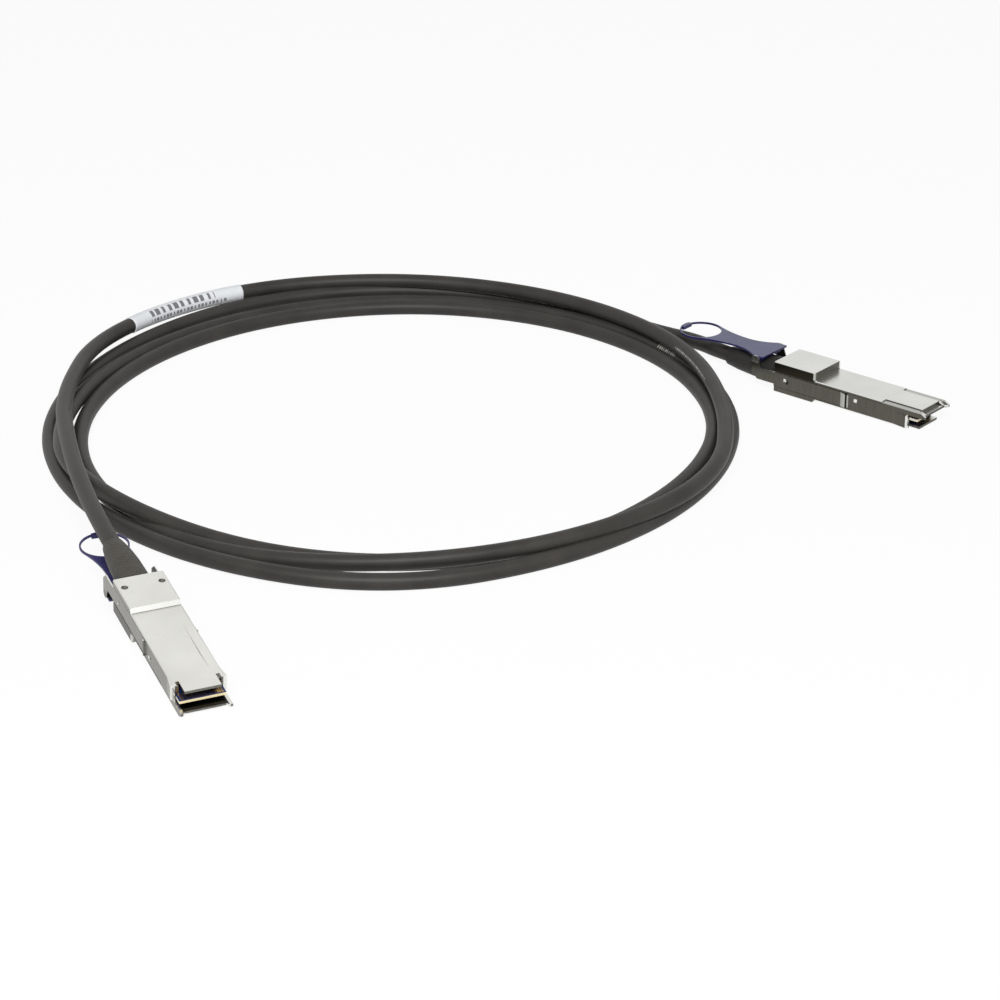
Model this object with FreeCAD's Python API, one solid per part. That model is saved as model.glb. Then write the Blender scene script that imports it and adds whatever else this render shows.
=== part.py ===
"""Direct attach copper cable: two pull-tab plugs joined by one loosely coiled cable.

Millimetres, +Z up.  The cable lies on the plane z = 0.  Each plug is built in its own
frame: X towards the nose with 0 at the stop shoulder, Y across, Z up from the belly of
the nose to the tab side.  The right plug lies belly down, the left plug tab side down.
"""
import FreeCAD, Part
import math
import os

V = FreeCAD.Vector

# Plug body
WIDTH = 18.35           # across the shells
NOSE_HEIGHT = 8.5       # thickness of the part that enters the cage
PLATE_LENGTH = 50.4     # stop shoulder to the end of the raised cover plate
STRIP_LENGTH = 17.4     # lower strips along both sides of the plate's front part
STRIP_DROP = 0.35
PLATE_MIDDLE = 12.4     # plate's width between the strips
WALL_SETBACK = 4.8      # end of the side walls behind the plate's
LIP_LENGTH = 3.3        # cover lip beyond the plate
LIP_DROP = 1.6          # step from the plate down to the lip and its side ledges
LIP_THICKNESS = 1.0
LIP_HOLLOW = 1.3        # lip's middle edge behind its pointed corners
LIP_CORNER = 1.9        # width of each pointed corner at its root
LIP_POINT = 0.9         # and at its front
CHIN_LENGTH = 4.1       # belly plate beyond the side walls
CHIN_WIDTH = 13.0
CHIN_NOTCH = 2.3        # depth of the notches between the belly plate and the walls
REAR_LENGTH = 20.3      # stop shoulder back to the rear face
BOX_RISE = 3.4          # rear box above the nose cover
KEEL_DROP = 1.5         # rear belly below the nose belly
KEEL_RAMP = 1.2         # length of the ramp between the two bellies
COVER = 1.2             # cover plate thickness
SEAM = 0.3              # open joint between cover and tray, seen on the sides
FLOOR = 1.0             # belly thickness
SIDE_WALL = 1.3
REAR_WALL = 1.6
CORNER = 0.35           # bevel of the long outer edges

# Label recess in the belly
PANEL_START = 11.6
PANEL_LENGTH = 28.4
PANEL_WIDTH = 11.4
PANEL_DEPTH = 0.3       # at its deepest, from nothing at both ends

# Small stamped marks on the side walls: (behind the walls' end, height, size, reach)
DETENTS = [(25.3, 4.9, 1.5, 0.3), (3.4, 4.4, 0.8, 0.25)]
FLARE_LENGTH = 6.4      # side walls' front ends, bent outwards as ground springs
FLARE_REACH = 0.8
FLARE_LOW = 0.3
FLARE_TIP = 0.7

# Card and electronics
CARD_THICKNESS = 1.0
CARD_TOP = 4.7          # card's upper face above the nose belly
CARD_REAR = -1.0        # card's rear edge
CARD_SHOULDER = 1.3     # length of the narrowed rear
CARD_SETBACK = 4.1      # card's front edge behind the lip's points
CARD_CLEARANCE = 0.1    # card to side wall, each side
CARD_HEAD = 16.6        # card's width in front of the side walls
PAD_COUNT = 19          # contacts on each face
PAD_PITCH = 0.8
PAD_WIDTH = 0.55
PAD_LENGTH = 4.2
PAD_THICKNESS = 0.06
PAD_SETBACK = 0.6
CHIP_SIZE = 4.0
CHIP_HEIGHT = 0.9
CHIP_STATION = 22.0
CAPACITOR_SIZE = (1.0, 0.6, 0.5)
CAPACITOR_STATION = 40.0
CAPACITOR_COUNT = 8
CAPACITOR_PITCH = 1.6
WIRE_RADIUS = 0.5
WIRE_PITCH = 3.4
WIRES_PER_FACE = 4
WIRE_OVERLAP = 4.0      # length of wire that lies on the card

# Cable and its entry
CABLE_DIAMETER = 6.5
ENTRY_HEIGHT = 4.25     # cable axis above the nose belly
# (behind the shells, radius)
BOOT_PROFILE = [(0.0, 5.7), (6.0, 5.65), (14.7, 5.45), (19.7, 5.05), (23.2, 4.75), (25.7, 4.35), (28.7, 3.9)]
BOOT_OVAL = 1.04        # width over height
BOOT_SIDES = 24
BOOT_NECK_RADIUS = 4.0
BOOT_FLANGE_RADIUS = 4.5
BOOT_FLANGE = 1.0
FERRULE_RADIUS = 4.3
FERRULE_BORE = 3.4
FERRULE_SIDES = 12
FERRULE_LENGTH = 5.0
MOULD_LENGTH = 5.0
MOULD_WIDTH = 11.6

# Slider, pull tab and return springs
PULL_TRAVEL = 2.3
SHEET = 0.5             # slider metal
GROOVE_SLACK = 0.15     # slider to groove, each way
ARM_LENGTH = 15.5       # arm's end ahead of the stop shoulder
ARM_LOW = 1.0
ARM_HIGH = 7.1
BARB_LENGTH = 2.6
BARB_REACH = 0.8
EAR_REAR = 32.0         # ear's rear edge behind the stop shoulder
EAR_LENGTH = 3.4
EAR_ROUNDING = 0.9
EAR_LOW = 4.6
EAR_BELLY = 1.9
DIMPLE_STATION = 14.6   # dimple in the arm behind the stop shoulder
DIMPLE_HEIGHT = 4.3
DIMPLE_RADIUS = 0.75
DIMPLE_DEPTH = 0.3
SPRING_RADIUS = 0.8
SPRING_BORE = 0.5
SPRING_LENGTH = 6.5
SPRING_SETBACK = 9.8    # spring's rear end ahead of the rear face
SPRING_HEIGHT = 4.2
SPRING_SIDES = 12
TAB_THICKNESS = 0.8
TAB_FRONT = 26.8        # tab's front edge behind the stop shoulder
YOKE_LENGTH = 4.8       # wide part between the ears
HOLD_LOW = 8.8          # block moulded round the slider's bridge
HOLD_MARGIN = 0.5
HOLD_SETBACK = 0.8      # its ends inside the ears
BRIDGE_DROP = 1.5       # bridge's underside below the tab's face
BRIDGE_MARGIN = 0.9     # bridge inside the ears' edges
YOKE_CLEARANCE = 0.4    # yoke to boot
NECK_WIDTH = 9.4
NECK_STATION = 43.0     # narrowest place behind the stop shoulder
RING_STATION = 65.0
RING_RADIUS = 9.2
RING_RIM = 0.6
GRIP_WIDTH = 5.6        # thicker place at the ring's far end
GRIP_DEPTH = 2.0
GRIP_RISE = 0.35        # grip above and below the strap
TAB_DROOP = {"right": 0.0, "left": 3.3}     # degrees the strap bends from the yoke
TAB_SWAY = {"right": 0.0, "left": 2.4}      # degrees it turns to the side

# Rivets that hold the shells together
RIVET_SETBACK = 6.0     # rivets ahead of the rear face
RIVET_SPACING = 13.6
RIVET_RADIUS = 0.7
RIVET_HEAD = 1.3
RIVET_HEAD_DEPTH = 0.35
RIVET_SINK = 0.5        # head below the belly's face
RIVET_SIDES = 12
RIVET_POST = 2.6

# Where the plugs lie: stop shoulder's place, heading and nose-down pitch
RIGHT_PLACE = (175.7, 32.5)
RIGHT_HEADING = -40.1
LEFT_PLACE = (-78.8, -190.2)
LEFT_HEADING = -66.0
LEFT_PITCH = 7.35

# The coil, round the layout's zero: turns lie beside and on each other
INNER_RADIUS = 126.5    # axis of the innermost strand
BAND_RIGHT = 13.7       # width of the turns beside each other on the four sides
BAND_LEFT = 19.9
BAND_BACK = 20.2
BAND_FRONT = 23.5
BAND_BEVEL = 1.9
TUBE_SIDES = 10
STATION_STEP = 30       # degrees between the stations below

# First turn, which lies on the others: (degrees, outside the inner strand, axis height)
CREST = [(150, 20.0, 11.0), (120, 23.0, 9.6), (90, 15.0, 9.8), (60, 9.5, 9.8), (30, 6.0, 9.6),
         (0, 4.2, 9.6), (-30, 5.0, 8.8), (-60, 7.0, 6.5), (-90, 7.5, 4.2)]
# Left lead from the plug to the first of those stations: (x, y, axis height)
LEFT_LEAD = [(-116.5, -99.0, 18.2), (-130.0, -52.0, 16.8), (-137.5, 2.0, 14.0)]
LEFT_LEAD_LENGTH = 372.0
# Right lead from the coil to the plug
RIGHT_STATIONS = [(88, 6.5, 3.3), (60, 14.0, 3.3)]
RIGHT_LEAD = [(108.0, 95.5, 3.4), (124.5, 80.0, 4.4)]
EXIT_STRAIGHT = 52.0    # where the cable leaves the plug's axis, behind the stop shoulder
LABEL_START = 292.0     # along the left lead from the crimp
LABEL_LENGTH = 62.0
LABEL_THICKNESS = 0.2

HALF = WIDTH / 2
WALL_LENGTH = PLATE_LENGTH - WALL_SETBACK
STRIP_START = PLATE_LENGTH - STRIP_LENGTH
RIVET_STATION = REAR_LENGTH - RIVET_SETBACK
SPRING_REAR = REAR_LENGTH - SPRING_SETBACK
SPLIT = NOSE_HEIGHT - COVER
BOX_TOP = NOSE_HEIGHT + BOX_RISE
LIP_END = PLATE_LENGTH + LIP_LENGTH
LIP_TOP = NOSE_HEIGHT - LIP_DROP
LIP_LOW = LIP_TOP - LIP_THICKNESS
INNER_HALF = HALF - SIDE_WALL
CABLE_RADIUS = CABLE_DIAMETER / 2
CARD_BOTTOM = CARD_TOP - CARD_THICKNESS
GROOVE = SHEET + GROOVE_SLACK
KEEL_FLOOR = FLOOR - KEEL_DROP
FERRULE_REAR = -REAR_LENGTH + REAR_WALL + BOOT_FLANGE
MOULD_REAR = FERRULE_REAR + FERRULE_LENGTH
MOULD_FRONT = MOULD_REAR + MOULD_LENGTH


def block(x0, x1, y0, y1, z0, z1):
    """Box between two corners."""
    return Part.makeBox(x1 - x0, y1 - y0, z1 - z0, V(x0, y0, z0))


def side_prism(outline, y0, y1):
    """Outline of (x, z) points, extruded from y0 to y1."""
    wire = Part.makePolygon([V(x, y0, z) for x, z in outline + outline[:1]])
    return Part.Face(wire).extrude(V(0, y1 - y0, 0))


def rod(radius, x0, x1, y=0.0, z=ENTRY_HEIGHT):
    """Round bar along X."""
    return Part.makeCylinder(radius, x1 - x0, V(x0, y, z), V(1, 0, 0))


def joined(shapes):
    """One solid from several that touch."""
    solid = shapes[0]
    for other in shapes[1:]:
        solid = solid.fuse(other)
    return solid.removeSplitter()


def mirrored(shape):
    """Copy on the other side of the plug's middle plane."""
    return shape.mirror(V(0, 0, 0), V(0, 1, 0))


def regular(radius, sides, x, z):
    """Corners (x, z) of a regular outline."""
    return [(x + radius * math.cos(2 * math.pi * n / sides), z + radius * math.sin(2 * math.pi * n / sides))
            for n in range(sides)]


def plan_prism(outline, z0, z1):
    """Outline of (x, y) points, extruded from z0 to z1."""
    wire = Part.makePolygon([V(x, y, z0) for x, y in outline + outline[:1]])
    return Part.Face(wire).extrude(V(0, 0, z1 - z0))


def rivets_at(radius, z0, z1):
    """Pair of upright bars at the rivet places."""
    return [plan_prism(regular(radius, RIVET_SIDES, -RIVET_STATION, side * RIVET_SPACING / 2), z0, z1)
            for side in (-1, 1)]


def detent(behind, height, size, reach):
    """Small peaked mark on the left side wall."""
    station = WALL_LENGTH - behind
    root = HALF - 0.1
    peak = [V(station - size / 2, root, height - size / 2), V(station - size / 2, HALF + reach, height),
            V(station - size / 2, root, height + size / 2)]
    return Part.Face(Part.makePolygon(peak + peak[:1])).extrude(V(size, 0, 0))


def lower_shell():
    """Tray: belly, side walls, keel, card rails, spring pockets and slider grooves."""
    chin_end = WALL_LENGTH + CHIN_LENGTH
    half_chin = CHIN_WIDTH / 2
    outline = [(-REAR_LENGTH, -KEEL_DROP), (-KEEL_RAMP, -KEEL_DROP), (0.0, 0.0), (chin_end, 0.0),
               (chin_end, FLOOR), (WALL_LENGTH, FLOOR), (WALL_LENGTH, LIP_LOW), (STRIP_START, LIP_LOW),
               (STRIP_START, SPLIT), (-REAR_LENGTH, SPLIT)]
    tray = side_prism(outline, -HALF, HALF)
    long_edges = [e for e in tray.Edges if abs(e.tangentAt(e.FirstParameter).x) > 0.99
                  and e.BoundBox.ZMax < 0.01 and abs(abs(e.CenterOfMass.y) - HALF) < 0.01]
    tray = tray.makeChamfer(CORNER, long_edges)
    ramp_end = -KEEL_RAMP - 0.8
    tray = tray.cut(block(ramp_end, chin_end + 1, -INNER_HALF, INNER_HALF, FLOOR, SPLIT + 1))
    tray = tray.cut(block(-REAR_LENGTH + REAR_WALL, ramp_end + 0.01, -INNER_HALF, INNER_HALF,
                          KEEL_FLOOR, SPLIT + 1))
    card_wide = CARD_REAR + CARD_SHOULDER
    rail = block(card_wide, WALL_LENGTH - 1, INNER_HALF - 1.0, INNER_HALF, FLOOR, CARD_BOTTOM)
    pocket_wall = block(-SPRING_REAR - 1.2, -SPRING_REAR + SPRING_LENGTH + PULL_TRAVEL, INNER_HALF - 1.6,
                        INNER_HALF, KEEL_FLOOR, SPLIT - 0.6)
    post = block(-RIVET_STATION - RIVET_POST / 2, -RIVET_STATION + RIVET_POST / 2,
                 (RIVET_SPACING - RIVET_POST) / 2, INNER_HALF, KEEL_FLOOR, SPLIT)
    flare = plan_prism([(WALL_LENGTH - FLARE_LENGTH, HALF - 0.1), (WALL_LENGTH - FLARE_LENGTH, HALF),
                        (WALL_LENGTH - FLARE_TIP, HALF + FLARE_REACH), (WALL_LENGTH, HALF + FLARE_REACH / 2),
                        (WALL_LENGTH, HALF - 0.1)], FLARE_LOW, LIP_LOW - FLARE_LOW)
    side_parts = [rail, pocket_wall, post, flare] + [detent(*d) for d in DETENTS]
    tray = joined([tray] + side_parts + [mirrored(s) for s in side_parts])
    groove = block(-REAR_LENGTH - 1, ARM_LENGTH + 0.4, HALF - GROOVE, HALF + 1,
                   ARM_LOW - GROOVE_SLACK, SPLIT + 1)
    pocket = block(-SPRING_REAR, -SPRING_REAR + SPRING_LENGTH + SHEET, INNER_HALF - 1.0, HALF,
                   SPRING_HEIGHT - SPRING_RADIUS - 0.1, SPRING_HEIGHT + SPRING_RADIUS + 0.1)
    notch = block(WALL_LENGTH - CHIN_NOTCH, WALL_LENGTH + 0.01, half_chin, INNER_HALF, -1, FLOOR + 0.1)
    corner = block(WALL_LENGTH, chin_end + 1, half_chin, HALF + 1, -1, FLOOR + 0.1)
    for cut in (groove, pocket, notch, corner):
        tray = tray.cut(cut).cut(mirrored(cut))
    for hole in rivets_at(RIVET_RADIUS, -KEEL_DROP - 1, SPLIT + 1):
        tray = tray.cut(hole)
    for sink in rivets_at(RIVET_HEAD, -KEEL_DROP - 1, -KEEL_DROP + RIVET_SINK + RIVET_HEAD_DEPTH):
        tray = tray.cut(sink)
    panel_end = PANEL_START + PANEL_LENGTH
    deepest = PANEL_START + 0.6 * PANEL_LENGTH
    panel = side_prism([(PANEL_START, -1.0), (PANEL_START, 0.0), (deepest, PANEL_DEPTH),
                        (panel_end, 0.0), (panel_end, -1.0)],
                       -PANEL_WIDTH / 2, PANEL_WIDTH / 2)
    tray = tray.cut(panel)
    return tray.cut(rod(BOOT_NECK_RADIUS, -REAR_LENGTH - 1, -REAR_LENGTH + REAR_WALL + 1))


def upper_shell():
    """Cover: rear box, nose plate with lower side strips at the front, and pointed lip."""
    outline = [(-REAR_LENGTH, SPLIT), (-REAR_LENGTH, BOX_TOP), (0.0, BOX_TOP), (0.0, NOSE_HEIGHT),
               (STRIP_START, NOSE_HEIGHT), (STRIP_START, SPLIT)]
    cover = side_prism(outline, -HALF, HALF)
    top_edges = [e for e in cover.Edges if abs(e.tangentAt(e.FirstParameter).x) > 0.99
                 and e.BoundBox.ZMin > SPLIT + 0.1 and abs(abs(e.CenterOfMass.y) - HALF) < 0.01]
    cover = cover.makeChamfer(CORNER, top_edges)
    cover = cover.cut(block(-REAR_LENGTH + REAR_WALL, -COVER, -INNER_HALF + 0.4, INNER_HALF - 0.4,
                            SPLIT - 1, BOX_TOP - COVER))
    half_middle = PLATE_MIDDLE / 2
    strip_top = NOSE_HEIGHT - STRIP_DROP
    middle = LIP_END - LIP_HOLLOW
    point = HALF - LIP_CORNER
    plate = block(STRIP_START, PLATE_LENGTH, -half_middle, half_middle, LIP_LOW, NOSE_HEIGHT)
    strip = side_prism([(STRIP_START, LIP_LOW), (STRIP_START, strip_top), (PLATE_LENGTH - 1, strip_top),
                        (middle, LIP_TOP), (middle, LIP_LOW)], half_middle, HALF)
    edge = side_prism([(PLATE_LENGTH - 2, LIP_LOW), (PLATE_LENGTH - 2, strip_top),
                       (PLATE_LENGTH + 1, strip_top), (LIP_END, LIP_TOP), (LIP_END, LIP_LOW)],
                      HALF - LIP_POINT, HALF)
    lip = plan_prism([(STRIP_START, -HALF), (LIP_END, -HALF), (LIP_END, -HALF + LIP_POINT), (middle, -point),
                      (middle, point), (LIP_END, HALF - LIP_POINT), (LIP_END, HALF), (STRIP_START, HALF)],
                     LIP_LOW, LIP_TOP)
    step_wall = block(STRIP_START - COVER, STRIP_START + 0.01, -INNER_HALF + 0.1, INNER_HALF - 0.1,
                      LIP_LOW, SPLIT + 0.1)
    half_post = RIVET_POST / 2
    bosses = [block(-RIVET_STATION - half_post, -RIVET_STATION + half_post, side - half_post,
                    side + half_post, SPLIT, BOX_TOP - COVER)
              for side in (-RIVET_SPACING / 2, RIVET_SPACING / 2)]
    sides = [strip, mirrored(strip), edge, mirrored(edge)]
    cover = joined([cover, plate, lip, step_wall] + sides + bosses)
    seam = block(-REAR_LENGTH - 1, STRIP_START, HALF - SEAM, HALF + 1, SPLIT - 0.1, SPLIT + SEAM)
    cover = cover.cut(seam).cut(mirrored(seam))
    for hole in rivets_at(RIVET_RADIUS, SPLIT - 1, BOX_TOP - COVER - 0.5):
        cover = cover.cut(hole)
    return cover.cut(rod(BOOT_NECK_RADIUS, -REAR_LENGTH - 1, -REAR_LENGTH + REAR_WALL + 1))


def rivets():
    """Two sunk rivets from the belly into the cover's bosses."""
    low = -KEEL_DROP + RIVET_SINK
    heads = rivets_at(RIVET_HEAD, low, low + RIVET_HEAD_DEPTH)
    shanks = rivets_at(RIVET_RADIUS, low, BOX_TOP - COVER - 0.5)
    return Part.makeCompound([joined([h, s]) for h, s in zip(heads, shanks)])


def card():
    """Paddle card: carries the wires at the rear and the contacts at the nose."""
    half = INNER_HALF - CARD_CLEARANCE
    front = LIP_END - CARD_SETBACK
    board = block(CARD_REAR, front, -half, half, CARD_BOTTOM, CARD_TOP)
    card_wide = CARD_REAR + CARD_SHOULDER
    notch = block(CARD_REAR - 1, card_wide, half - 1.6, half + 1, CARD_BOTTOM - 1, CARD_TOP + 1)
    head = block(WALL_LENGTH + 0.3, front, -CARD_HEAD / 2, CARD_HEAD / 2, CARD_BOTTOM, CARD_TOP)
    return joined([board, head]).cut(notch).cut(mirrored(notch))


def contacts():
    """Row of gold contacts on each face of the card."""
    front = LIP_END - CARD_SETBACK - PAD_SETBACK
    pads = []
    for n in range(PAD_COUNT):
        y = (n - (PAD_COUNT - 1) / 2) * PAD_PITCH
        for z in (CARD_TOP, CARD_BOTTOM - PAD_THICKNESS):
            pads.append(block(front - PAD_LENGTH, front, y - PAD_WIDTH / 2, y + PAD_WIDTH / 2,
                              z, z + PAD_THICKNESS))
    return Part.makeCompound(pads)


def chip():
    """Memory chip on the card's upper face."""
    return block(CHIP_STATION, CHIP_STATION + CHIP_SIZE, -CHIP_SIZE / 2, CHIP_SIZE / 2,
                 CARD_TOP, CARD_TOP + CHIP_HEIGHT)


def capacitors():
    """Row of small capacitors behind the contacts."""
    length, width, height = CAPACITOR_SIZE
    row = []
    for n in range(CAPACITOR_COUNT):
        y = (n - (CAPACITOR_COUNT - 1) / 2) * CAPACITOR_PITCH
        row.append(block(CAPACITOR_STATION, CAPACITOR_STATION + length, y - width / 2, y + width / 2,
                         CARD_TOP, CARD_TOP + height))
    return Part.makeCompound(row)


def wires():
    """Insulated pairs from the cable end, soldered to both faces of the card."""
    row = []
    for n in range(WIRES_PER_FACE):
        y = (n - (WIRES_PER_FACE - 1) / 2) * WIRE_PITCH
        for z in (CARD_TOP + WIRE_RADIUS, CARD_BOTTOM - WIRE_RADIUS):
            row.append(prism(WIRE_RADIUS, 8, MOULD_FRONT, CARD_REAR + WIRE_OVERLAP, y, z))
    return Part.makeCompound(row)


def inner_mould():
    """Moulded block that grips the wires where the jacket ends."""
    return block(MOULD_REAR, MOULD_FRONT, -MOULD_WIDTH / 2, MOULD_WIDTH / 2, KEEL_FLOOR,
                 CARD_TOP + 2 * WIRE_RADIUS + 1.0)


def ferrule():
    """Crimp ring round the jacket, between the boot's flange and the mould."""
    ring = prism(FERRULE_RADIUS, FERRULE_SIDES, FERRULE_REAR, MOULD_REAR, 0.0, ENTRY_HEIGHT)
    return ring.cut(prism(FERRULE_BORE, FERRULE_SIDES, FERRULE_REAR - 1, MOULD_REAR + 1, 0.0, ENTRY_HEIGHT))


def boot_radius(behind):
    """Boot's radius at a place behind the shells."""
    for (a, ra), (b, rb) in zip(BOOT_PROFILE, BOOT_PROFILE[1:]):
        if behind <= b:
            return ra + (rb - ra) * (behind - a) / (b - a)
    return BOOT_PROFILE[-1][1]


def turned(outline, sides):
    """Closed outline of (x, radius, width over height) points, turned in flat facets."""
    rings = []
    for x, radius, oval in outline:
        rings.append([V(x, y * oval, z) for y, z in regular(radius, sides, 0.0, ENTRY_HEIGHT)])
    faces = []
    for near, far in zip(rings, rings[1:] + rings[:1]):
        for n in range(sides):
            m = (n + 1) % sides
            faces.append(Part.Face(Part.makePolygon([near[n], near[m], far[m], far[n], near[n]])))
    shell = Part.Shell(faces)
    shell.sewShape()
    solid = Part.Solid(shell)
    return solid if solid.Volume > 0 else solid.reversed()


def boot():
    """Flared boot with a neck and flange held by the rear walls."""
    inside = -REAR_LENGTH + REAR_WALL
    tip = -REAR_LENGTH - BOOT_PROFILE[-1][0]
    bore = CABLE_RADIUS / math.cos(math.pi / BOOT_SIDES)
    outline = [(inside + BOOT_FLANGE, bore, 1.0), (inside + BOOT_FLANGE, BOOT_FLANGE_RADIUS, 1.0),
               (inside, BOOT_FLANGE_RADIUS, 1.0), (inside, BOOT_NECK_RADIUS, 1.0),
               (-REAR_LENGTH, BOOT_NECK_RADIUS, 1.0)]
    outline += [(-REAR_LENGTH - behind, radius, BOOT_OVAL) for behind, radius in BOOT_PROFILE]
    return turned(outline + [(tip, bore, 1.0)], BOOT_SIDES)


def slider():
    """Sheet-metal slider: two side arms with barbs and ears, joined by a rear bridge."""
    rear = -EAR_REAR
    front = rear + EAR_LENGTH
    top = BOX_TOP - EAR_ROUNDING
    outline = [(rear, EAR_LOW), (rear, top), (rear + EAR_ROUNDING, BOX_TOP), (front - EAR_ROUNDING, BOX_TOP),
               (front, top), (front + 1.4, ARM_HIGH), (ARM_LENGTH, ARM_HIGH), (ARM_LENGTH, ARM_LOW),
               (-REAR_LENGTH - 0.2, ARM_LOW), (-REAR_LENGTH - 0.2, EAR_BELLY), (rear + 3.0, EAR_BELLY)]
    side = side_prism(outline, HALF - SHEET, HALF)
    dimple = side_prism(regular(DIMPLE_RADIUS, 8, -DIMPLE_STATION, DIMPLE_HEIGHT),
                        HALF - DIMPLE_DEPTH, HALF + 1)
    tip = ARM_LENGTH
    barb = plan_prism([(tip - BARB_LENGTH, HALF), (tip, HALF + BARB_REACH), (tip, HALF)], ARM_LOW, ARM_HIGH)
    spring_front = -SPRING_REAR + SPRING_LENGTH
    hook = block(spring_front, spring_front + SHEET - 0.1, INNER_HALF - 0.8, HALF - SHEET,
                 SPRING_HEIGHT - SPRING_RADIUS, SPRING_HEIGHT + SPRING_RADIUS)
    arm = joined([side.cut(dimple), barb, hook])
    return joined([arm, bridge(), mirrored(arm)])


def bridge(margin=0.0, inset=0.0):
    """Cross strip between the slider's ears, or the room round it."""
    half = HALF - SHEET - inset
    low = BOX_TOP - BRIDGE_DROP
    return block(-EAR_REAR + BRIDGE_MARGIN - margin, -EAR_REAR + EAR_LENGTH - BRIDGE_MARGIN + margin,
                 -half, half, low, low + SHEET)


def tab_strap(low):
    """Strap that narrows from the yoke to the neck and widens into the ring's tangents."""
    half_yoke = HALF - SHEET
    neck = NECK_WIDTH / 2
    shoulder = -TAB_FRONT - YOKE_LENGTH
    waist = -NECK_STATION
    meet = -RING_STATION + 0.38 * RING_RADIUS
    reach = math.sqrt(RING_RADIUS ** 2 - (meet + RING_STATION) ** 2)

    def flank(side):
        front = Part.Arc(V(shoulder, side * half_yoke, low),
                         V((shoulder + waist) / 2, side * (neck + 0.25 * (half_yoke - neck)), low),
                         V(waist, side * neck, low))
        rear = Part.Arc(V(waist, side * neck, low),
                        V((waist + meet) / 2, side * (neck + 0.25 * (reach - neck)), low),
                        V(meet, side * reach, low))
        return [front.toShape(), rear.toShape()]

    def across(x, half):
        return Part.LineSegment(V(x, -half, low), V(x, half, low)).toShape()

    edges = flank(-1) + [across(meet, reach)] + flank(1) + [across(shoulder, half_yoke)]
    outline = Part.Wire(Part.__sortEdges__(edges))
    return Part.Face(outline).extrude(V(0, 0, TAB_THICKNESS))


def pull_tab(droop=0.0, sway=0.0):
    """Flexible tab: flat strap with a finger ring, and a yoke moulded on the bridge."""
    low = BOX_TOP - TAB_THICKNESS
    half_yoke = HALF - SHEET
    shoulder = TAB_FRONT + YOKE_LENGTH
    centre = V(-RING_STATION, 0, low)
    disc = Part.makeCylinder(RING_RADIUS, TAB_THICKNESS, centre)
    hole = Part.makeCylinder(RING_RADIUS - RING_RIM, TAB_THICKNESS + 2, centre - V(0, 0, 1))
    grip = block(-RING_STATION - RING_RADIUS, -RING_STATION - RING_RADIUS + GRIP_DEPTH,
                 -GRIP_WIDTH / 2, GRIP_WIDTH / 2, low - GRIP_RISE, low + TAB_THICKNESS + GRIP_RISE)
    round_end = Part.makeCylinder(RING_RADIUS, TAB_THICKNESS + 2 * GRIP_RISE, centre - V(0, 0, GRIP_RISE))
    grip = grip.common(round_end)
    strap = joined([joined([tab_strap(low), disc]).cut(hole), grip])
    strap.rotate(V(-shoulder + 0.6, 0, low), V(0, 0, 1), sway)
    strap.rotate(V(-shoulder + 0.6, 0, low), V(0, 1, 0), droop)
    plate = block(-shoulder - 0.02, -TAB_FRONT, -half_yoke, half_yoke, low, low + TAB_THICKNESS)
    hold = bridge(HOLD_MARGIN, HOLD_SETBACK).BoundBox
    yoke = block(hold.XMin, hold.XMax, hold.YMin, hold.YMax, HOLD_LOW, low)
    arch = rod(boot_radius(TAB_FRONT - REAR_LENGTH) + YOKE_CLEARANCE, -shoulder - 1, -TAB_FRONT + 1)
    return joined([strap, plate, yoke.cut(arch)]).cut(bridge())


def prism(radius, sides, x0, x1, y, z):
    """Bar along X with a regular outline."""
    corners = [V(x0, y + radius * math.cos(2 * math.pi * n / sides),
                 z + radius * math.sin(2 * math.pi * n / sides)) for n in range(sides)]
    return Part.Face(Part.makePolygon(corners + corners[:1])).extrude(V(x1 - x0, 0, 0))


def springs():
    """Pair of return springs, drawn as plain sleeves of the coils' outer size."""
    pair = []
    rear = -SPRING_REAR
    front = rear + SPRING_LENGTH
    for side in (-1, 1):
        y = side * (HALF - GROOVE - SPRING_RADIUS)
        outer = prism(SPRING_RADIUS, SPRING_SIDES, rear, front, y, SPRING_HEIGHT)
        pair.append(outer.cut(prism(SPRING_BORE, SPRING_SIDES, rear - 1, front + 1, y, SPRING_HEIGHT)))
    return Part.makeCompound(pair)


PLUG_PIECES = {
    "lower_shell": lower_shell,
    "upper_shell": upper_shell,
    "shell_rivets": rivets,
    "paddle_card": card,
    "contacts": contacts,
    "memory_chip": chip,
    "capacitors": capacitors,
    "wire_pairs": wires,
    "inner_mould": inner_mould,
    "crimp_ferrule": ferrule,
    "cable_boot": boot,
    "latch_slider": slider,
    "pull_tab": pull_tab,
    "return_springs": springs,
}


def right_placement():
    """Belly down, level, on its keel."""
    place = V(RIGHT_PLACE[0], RIGHT_PLACE[1], KEEL_DROP)
    return FreeCAD.Placement(place, FreeCAD.Rotation(V(0, 0, 1), RIGHT_HEADING))


def left_placement():
    """Tab side down, nose on the surface and the rear held up by the cable."""
    pitch = math.radians(LEFT_PITCH)
    plate_edge = NOSE_HEIGHT * math.cos(pitch) + PLATE_LENGTH * math.sin(pitch)
    lip_edge = LIP_TOP * math.cos(pitch) + LIP_END * math.sin(pitch)
    place = V(LEFT_PLACE[0], LEFT_PLACE[1], max(plate_edge, lip_edge))
    turn = FreeCAD.Rotation(V(0, 0, 1), LEFT_HEADING)
    turn = turn.multiply(FreeCAD.Rotation(V(0, 1, 0), LEFT_PITCH))
    turn = turn.multiply(FreeCAD.Rotation(V(1, 0, 0), 180))
    return FreeCAD.Placement(place, turn)


def station(angle, outward, height):
    """Corner of the route round the coil, so the rounded route keeps the stated radius."""
    reach = (INNER_RADIUS + outward) / math.cos(math.radians(STATION_STEP / 2))
    turn = math.radians(angle)
    return V(reach * math.cos(turn), reach * math.sin(turn), height)


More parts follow.
